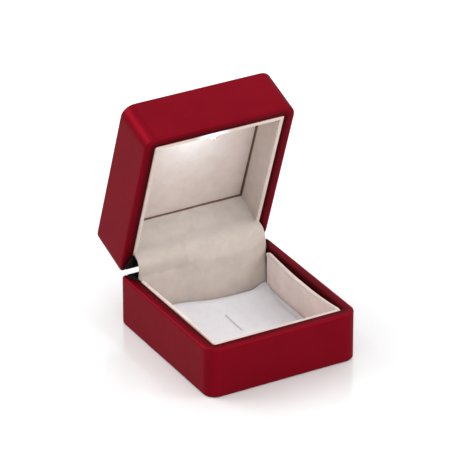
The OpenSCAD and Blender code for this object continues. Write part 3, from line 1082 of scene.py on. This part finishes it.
def dress_cad_nodes():
    """Materials of the CAD nodes that stay in view when the case is opened up."""
    nodes = frame["nodes"]
    black = moulded_plastic("hinge_black", (0.010, 0.009, 0.009))
    steel = brushed_metal("hinge_steel", (0.62, 0.62, 0.64))
    screws = brushed_metal("screw_steel", (0.5, 0.5, 0.52), 0.34, (30, 1, 30))
    sleeve = moulded_plastic("wire_sleeve", (0.42, 0.018, 0.012), 0.5)
    holder = moulded_plastic("holder_black", (0.014, 0.014, 0.015), 0.5)
    cell = brushed_metal("cell_steel", (0.70, 0.70, 0.69), 0.22, (1, 25, 1))
    clip = brushed_metal("clip_steel", (0.66, 0.62, 0.52), 0.26)
    plunger = moulded_plastic("plunger_white", (0.72, 0.71, 0.68), 0.38)
    looks = [
        (black, ["hinge_lower", "hinge_upper"]),
        (steel, ["hinge_pin", "hinge_spring_left", "hinge_spring_right"]),
        (screws, ["hinge_screws_lower", "hinge_screws_upper"]),
        (grey_card(), ["pad_board"]),
        (open_foam(), ["pad_foam"]),
        (lamp_epoxy(), ["led"]),
        (circuit_laminate(), ["led_board", "circuit_board"]),
        (sleeve, ["led_wires", "switch_wires"]),
        (holder, ["battery_holder", "switch_body", "resistor"]),
        (cell, ["coin_cell"]),
        (clip, ["battery_clip"]),
        (plunger, ["switch_plunger"]),
    ]
    for material, names in looks:
        dress([nodes[n] for n in names], material)


# ---- pieces ----

ceiling_velvet = velvet("ceiling_velvet", (0.51, 0.41, 0.36), (0.59, 0.50, 0.46))
# darker copy of the velvet: painted shade on the lid's side boards
lid_velvet_painted_shade = velvet("lid_velvet_painted_shade", (0.41, 0.31, 0.26), (0.48, 0.39, 0.34))
# middle of the painted glow of lamp light on the front board
glow_from = (lamp_x - GLOW_LEFT, lamp_low[1] + GLOW_AHEAD, seam_z + lamp_rise)
lamp_at = Vector(opened(glow_from) * MM)
front_velvet = velvet("front_velvet", (0.56, 0.46, 0.41), (0.64, 0.55, 0.49), lit_from=lamp_at)
# copy of the velvet for the boards' folds over the rim: painted light
fold_velvet_painted_light = velvet("fold_velvet_painted_light", (0.51, 0.42, 0.37), (0.58, 0.50, 0.445))
# dark copy of the velvet: painted shade in the gaps round the ceiling
crease_painted_shade = velvet("crease_painted_shade", (0.10, 0.052, 0.035), (0.16, 0.095, 0.065), sheen=0.0)
# lighter copy of the velvet: painted light on the base's boards
base_velvet_painted_light = velvet("base_velvet_painted_light", (0.70, 0.555, 0.50), (0.82, 0.70, 0.655))
# darker copy of the velvet: painted shade on the flap
flap_velvet_painted_shade = velvet("flap_velvet_painted_shade", (0.41, 0.34, 0.29), (0.48, 0.42, 0.385))
pad_velvet = velvet("pad_velvet", (0.60, 0.575, 0.595), (0.67, 0.65, 0.67))
coats = [
    red_lacquer("red_lacquer", 1),
    # darker copies of the lacquer: painted shade on the rim, and deeper painted shade on its inner
    # edge and down the well
    red_lacquer("rim_lacquer_painted_shade", 0.7),
    red_lacquer("inner_lacquer_painted_shade", 0.4),
]
make_base_case(coats)
make_lid_case(coats)

base_boards, lid_boards = make_base_lining(), make_lid_lining()
for board in base_boards + lid_boards:
    smooth(board, 60)
for board in base_boards:
    dress_lining(board, base_velvet_painted_light, False)
for board in lid_boards[1:3]:
    dress_lining(board, lid_velvet_painted_shade, True)
dress(lid_boards[:1], front_velvet)
dress(lid_boards[3:], ceiling_velvet)

flap, flap_grid = make_flap()
smooth(flap, 80, weighted=False)
dress_flap(flap)
across = length_of(flap_grid[FLAP_GRID[0] // 2])
down = length_of(flap_grid[:, FLAP_GRID[1] // 2])
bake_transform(flap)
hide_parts("velvet_flap", "base_rear_panel")

pad = make_pad()
smooth(pad, 80, weighted=False)
dress([pad], pad_velvet)

dress_cad_nodes()

# ---- light, floor and camera ----

AIM = Vector((0, 6.77, 44.84)) * MM
CAMERA_AZIMUTH, CAMERA_ELEVATION = -29.45, 27.51
CAMERA_DISTANCE = 1523.6 * MM
CAMERA_LENS, CAMERA_SENSOR = 315.1, 36
CAMERA_CLIP = (50 * MM, 20000 * MM)
LAMP_BEAM_W, LAMP_HALO_W = 0.022, 0.0048
LAMP_BEAM_ANGLE = 150
LAMP_R = 1.2
LAMP_TIP_GAP, LAMP_AIM_AHEAD = 0.6, 10
ROOM_LIGHT = 1.1
FLOOR_SHADE = 0.74
FLOOR_HALF = 6000
FLOOR_DROP = 0.02

# name, azimuth, elevation, distance in metres, width and height in metres, power in watts
SOFTBOXES = (
    ("key_left_back", -139, 37, 0.9, (0.6, 0.36), 4.8),
    ("back_right", 126, 57, 1.0, (0.6, 0.6), 1),
    ("front_fill", 0, 15, 1.2, (0.8, 0.4), 4.3),
    ("right_fill", 55, 35, 1.2, (0.6, 0.6), 4),
)


def direction(azimuth, elevation):
    """Unit vector from the object; azimuth 0 is the front and 90 the right side."""
    a, e = math.radians(azimuth), math.radians(elevation)
    return Vector((math.sin(a) * math.cos(e), -math.cos(a) * math.cos(e), math.sin(e)))


def look(obj, target):
    obj.rotation_euler = (target - obj.location).to_track_quat("-Z", "Y").to_euler()


def make_camera():
    data = bpy.data.cameras.new("camera")
    data.lens, data.sensor_width = CAMERA_LENS, CAMERA_SENSOR
    data.clip_start, data.clip_end = CAMERA_CLIP
    camera = bpy.data.objects.new("camera", data)
    camera.location = AIM + direction(CAMERA_AZIMUTH, CAMERA_ELEVATION) * CAMERA_DISTANCE
    look(camera, AIM)
    bpy.context.scene.collection.objects.link(camera)
    bpy.context.scene.camera = camera


def softbox(name, azimuth, elevation, distance, size, power):
    """A white rectangular light that looks at the middle of the box."""
    data = bpy.data.lights.new(name, "AREA")
    data.shape, data.size, data.size_y = "RECTANGLE", *size
    data.energy = power
    light = bpy.data.objects.new(name, data)
    light.location = AIM + direction(azimuth, elevation) * distance
    look(light, AIM)
    bpy.context.scene.collection.objects.link(light)


def lamp_light():
    """The light that the lamp throws: a wide beam and a little all round its dome."""

    def on_axis(gap):
        return Vector(opened((lamp_x, lamp_high[1] + gap, seam_z + lamp_rise)) * MM)

    tip, ahead = on_axis(LAMP_TIP_GAP), on_axis(LAMP_AIM_AHEAD)
    kinds = (("lamp_beam", "SPOT", LAMP_BEAM_W), ("lamp_halo", "POINT", LAMP_HALO_W))
    for name, kind, energy in kinds:
        data = bpy.data.lights.new(name, kind)
        data.energy, data.shadow_soft_size = energy, LAMP_R * MM
        data.color = LAMP_COLOUR
        if kind == "SPOT":
            data.spot_size, data.spot_blend = math.radians(LAMP_BEAM_ANGLE), 1.0
        light = bpy.data.objects.new(name, data)
        light.location = tip
        look(light, ahead)
        bpy.context.scene.collection.objects.link(light)
        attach(light, "lid")


def pale_floor():
    """A pale floor with a soft gloss."""
    mesh = bpy.data.meshes.new("floor")
    corners = [(-1, -1), (1, -1), (1, 1), (-1, 1)]
    half = FLOOR_HALF * MM
    points = [(x * half, y * half, -FLOOR_DROP * MM) for x, y in corners]
    mesh.from_pydata(points, [], [(0, 1, 2, 3)])
    floor = bpy.data.objects.new("floor", mesh)
    bpy.context.scene.collection.objects.link(floor)
    s = Shader("pale_floor", Roughness=0.16)
    s.surface.inputs["Specular IOR Level"].default_value = 1.0
    darker = (FLOOR_SHADE - 0.01,) * 3
    s.feed("Base Color", s.ramp(s.noise(40, 2), [(0.3, darker), (0.7, (FLOOR_SHADE,) * 3)]))
    dress([floor], s.material)


def studio_world():
    """White all round, like inside a light tent."""
    world = bpy.data.worlds.new("studio")
    world.use_nodes = True
    background = world.node_tree.nodes["Background"]
    background.inputs["Color"].default_value = (1, 1, 1, 1)
    background.inputs["Strength"].default_value = ROOM_LIGHT
    bpy.context.scene.world = world


make_camera()
studio_world()
pale_floor()
for box in SOFTBOXES:
    softbox(*box)
lamp_light()
bpy.context.scene.view_settings.view_transform = "Standard"
